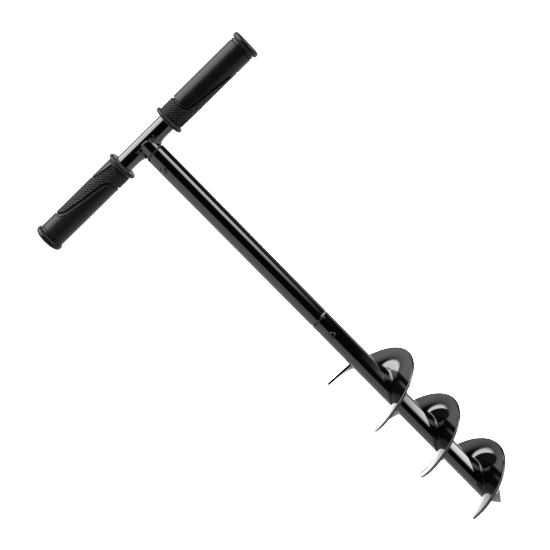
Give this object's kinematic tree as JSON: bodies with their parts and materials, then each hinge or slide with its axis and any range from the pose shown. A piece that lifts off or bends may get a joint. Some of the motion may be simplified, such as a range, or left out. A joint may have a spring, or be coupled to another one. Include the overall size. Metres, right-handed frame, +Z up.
{
  "type": "hand auger",
  "caption": "Hand-turned auger with a T-handle, rubber grips, plug-in tube sections held by snap buttons, a spiral flight and a pointed pilot, for drilling holes in ice or soil.",
  "frame": {"origin": "tip of the pilot point, on the shaft's axis", "axes": "+Z up the shaft towards the handle, +X along the handlebar towards the right-hand grip, +Y away from the user's front view"},
  "size_m": [0.323, 0.0978, 0.6331],
  "materials": {
    "gloss_black_paint": "gloss black paint",
    "moulded_rubber": "matte moulded rubber",
    "spring_steel": "blackened spring steel",
    "bare_dark_steel": "thinly painted steel, rough at the weld"
  },
  "bodies": {
    "auger_section": {"auger_tube": "gloss_black_paint", "flight_upper": "gloss_black_paint", "flight_middle": "gloss_black_paint", "flight_lower": "gloss_black_paint", "flight_splice_welds": "gloss_black_paint", "flight_root_welds": "gloss_black_paint", "pilot_point": "bare_dark_steel", "pilot_weld": "bare_dark_steel"},
    "extension_section": {"extension_tube": "gloss_black_paint", "lower_snap_spring": "spring_steel"},
    "handle_section": {"handlebar_tube": "gloss_black_paint", "grip_left": "moulded_rubber", "grip_right": "moulded_rubber", "handle_stem": "gloss_black_paint", "stem_weld": "gloss_black_paint", "upper_snap_spring": "spring_steel"},
    "lower_button": {"lower_snap_button": "spring_steel"},
    "upper_button": {"upper_snap_button": "spring_steel"}
  },
  "joints": [
    {"name": "extension_lift", "type": "slide", "parent": "auger_section", "child": "extension_section", "axis": [0, 0, 1], "range_m": [0, 0.06], "deforming": ["lower_snap_button"]},
    {"name": "handle_lift", "type": "slide", "parent": "extension_section", "child": "handle_section", "axis": [0, 0, 1], "range_m": [0, 0.06], "deforming": ["upper_snap_button"]},
    {"name": "lower_button_press", "type": "hinge", "parent": "extension_section", "child": "lower_button", "pos_m": [-0.00025, -0.00722, 0.3258], "axis": [0.9994, -0.0349, 0], "range_deg": [0, 8.6], "stiffness_Nm_per_rad": 2},
    {"name": "upper_button_press", "type": "hinge", "parent": "handle_section", "child": "upper_button", "pos_m": [-0.00339, -0.00638, 0.5992], "axis": [0.8829, -0.4695, 0], "range_deg": [0, 8.6], "stiffness_Nm_per_rad": 2}
  ]
}
